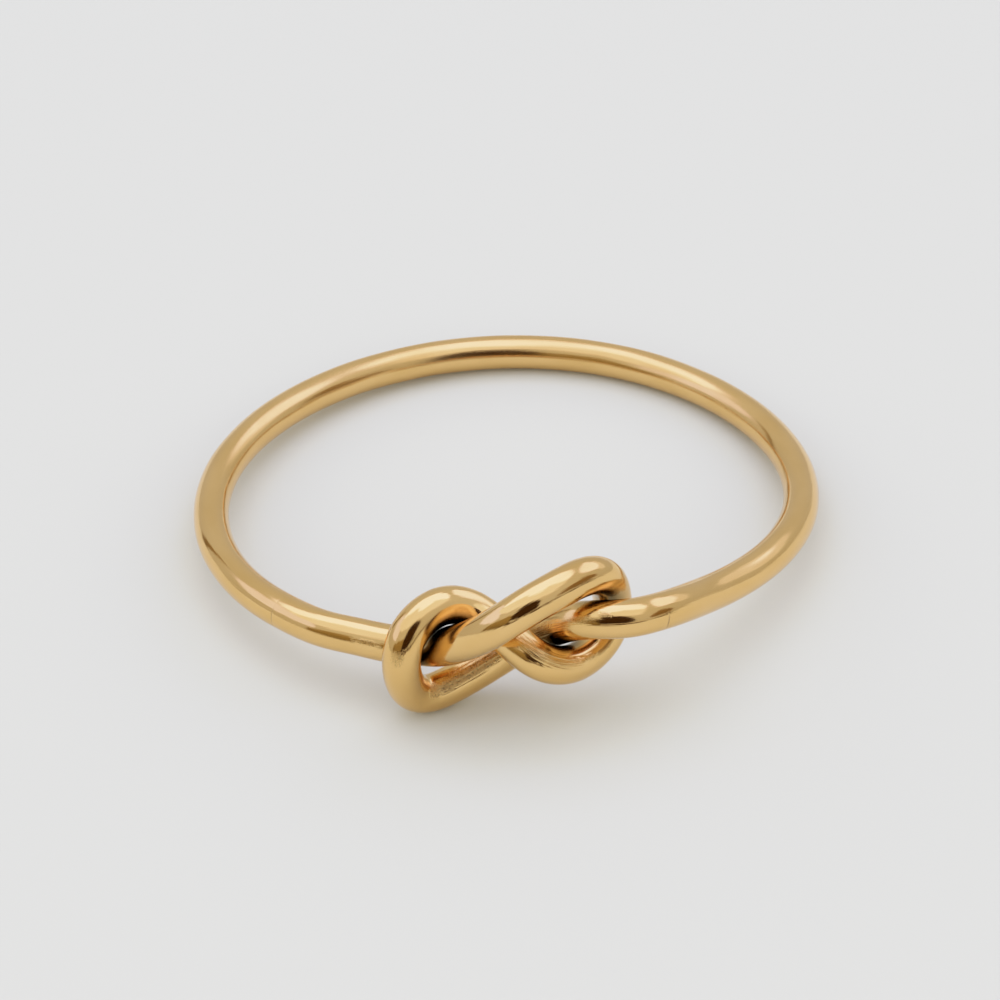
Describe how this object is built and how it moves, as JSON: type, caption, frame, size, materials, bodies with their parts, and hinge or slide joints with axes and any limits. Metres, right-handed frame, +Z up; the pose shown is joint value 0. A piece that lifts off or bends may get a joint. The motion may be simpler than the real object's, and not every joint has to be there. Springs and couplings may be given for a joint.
{
  "type": "knot ring",
  "caption": "Thin round-wire finger ring lying on its side, with the wire tied in an open figure-eight knot at the front of a plain band.",
  "frame": {"origin": "on the surface that the ring lies on, below the middle of its bounding box", "axes": "+Z up from that surface, -Y the way the knot faces, +X to the right of the knot seen from its front"},
  "size_m": [0.0194, 0.0206, 0.0054],
  "materials": {
    "polished_gold": "mirror-polished yellow gold with faint draw lines along the wire"
  },
  "bodies": {
    "root": {"knot_ring": "polished_gold"}
  },
  "joints": []
}
